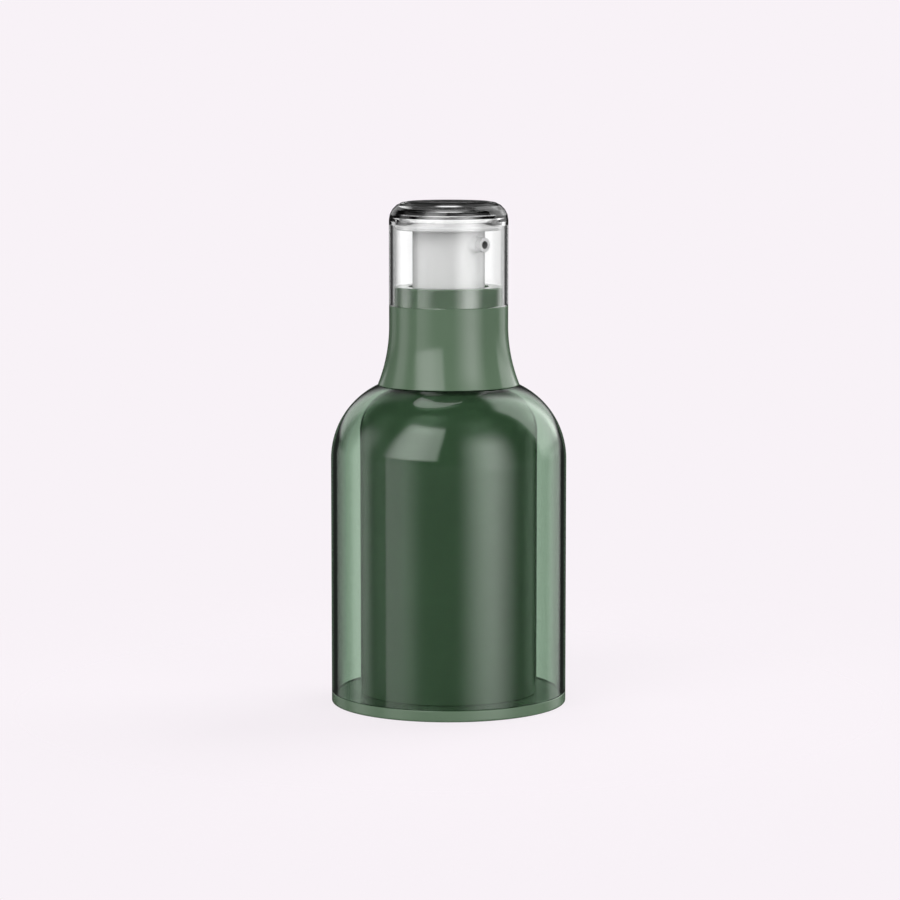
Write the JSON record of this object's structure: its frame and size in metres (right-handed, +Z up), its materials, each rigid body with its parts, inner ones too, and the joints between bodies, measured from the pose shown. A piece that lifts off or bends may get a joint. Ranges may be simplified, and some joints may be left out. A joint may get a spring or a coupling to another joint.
{
  "type": "airless pump bottle",
  "caption": "Round-shouldered airless pump bottle: clear overcap, white push button with a side nozzle, flared collar, tinted clear shell over an opaque inner bottle.",
  "frame": {"origin": "centre of the foot, on the surface that the bottle stands on", "axes": "+Z up along the bottle's axis, towards the overcap; -Y is the front, and the nozzle points between +X and -Y"},
  "size_m": [0.0484, 0.0484, 0.1033],
  "materials": {
    "green_plastic": "moulded, satin gloss, opaque",
    "green_clear_plastic": "moulded thick wall, polished, see-through tint",
    "clear_plastic": "moulded, polished, clear",
    "white_plastic": "moulded, soft gloss",
    "natural_plastic": "moulded, uncoloured",
    "seal_plastic": "soft seal",
    "spring_steel": "drawn wire"
  },
  "bodies": {
    "bottle": {"outer_shell": "green_clear_plastic", "inner_bottle": "green_plastic", "base": "green_plastic", "collar": "green_plastic", "snap_ferrule": "natural_plastic", "neck_gasket": "seal_plastic", "pump_housing": "natural_plastic", "housing_cap": "natural_plastic", "return_spring": "spring_steel"},
    "overcap": {"overcap": "clear_plastic"},
    "stem": {"pump_stem": "natural_plastic", "piston_rod": "natural_plastic"},
    "actuator": {"actuator": "white_plastic", "nozzle_insert": "white_plastic"},
    "dosing_piston": {"dosing_piston": "seal_plastic"},
    "follower": {"follower_piston": "natural_plastic"},
    "ball": {"inlet_ball": "spring_steel"}
  },
  "joints": [
    {"name": "overcap_lift", "type": "slide", "parent": "bottle", "child": "overcap", "axis": [0, 0, 1], "range_m": [0, 0.03]},
    {"name": "actuator_press", "type": "slide", "parent": "bottle", "child": "stem", "axis": [0, 0, -1], "range_m": [0, 0.0045], "stiffness_N_per_m": 2000, "springref_m": -0.003, "deforming": ["return_spring"]},
    {"name": "actuator_turn", "type": "hinge", "parent": "stem", "child": "actuator", "pos_m": [0, 0, 0.09], "axis": [0, 0, 1], "continuous": true},
    {"name": "dosing_piston_slide", "type": "slide", "parent": "bottle", "child": "dosing_piston", "axis": [0, 0, -1], "range_m": [0, 0.0036]},
    {"name": "follower_rise", "type": "slide", "parent": "bottle", "child": "follower", "axis": [0, 0, 1], "range_m": [0, 0.0422]},
    {"name": "inlet_ball_lift", "type": "slide", "parent": "bottle", "child": "ball", "axis": [0, 0, 1], "range_m": [0, 0.0009]}
  ],
  "couplings": [
    {"joint": "dosing_piston_slide", "follows": "actuator_press", "ratio": 0.8}
  ]
}
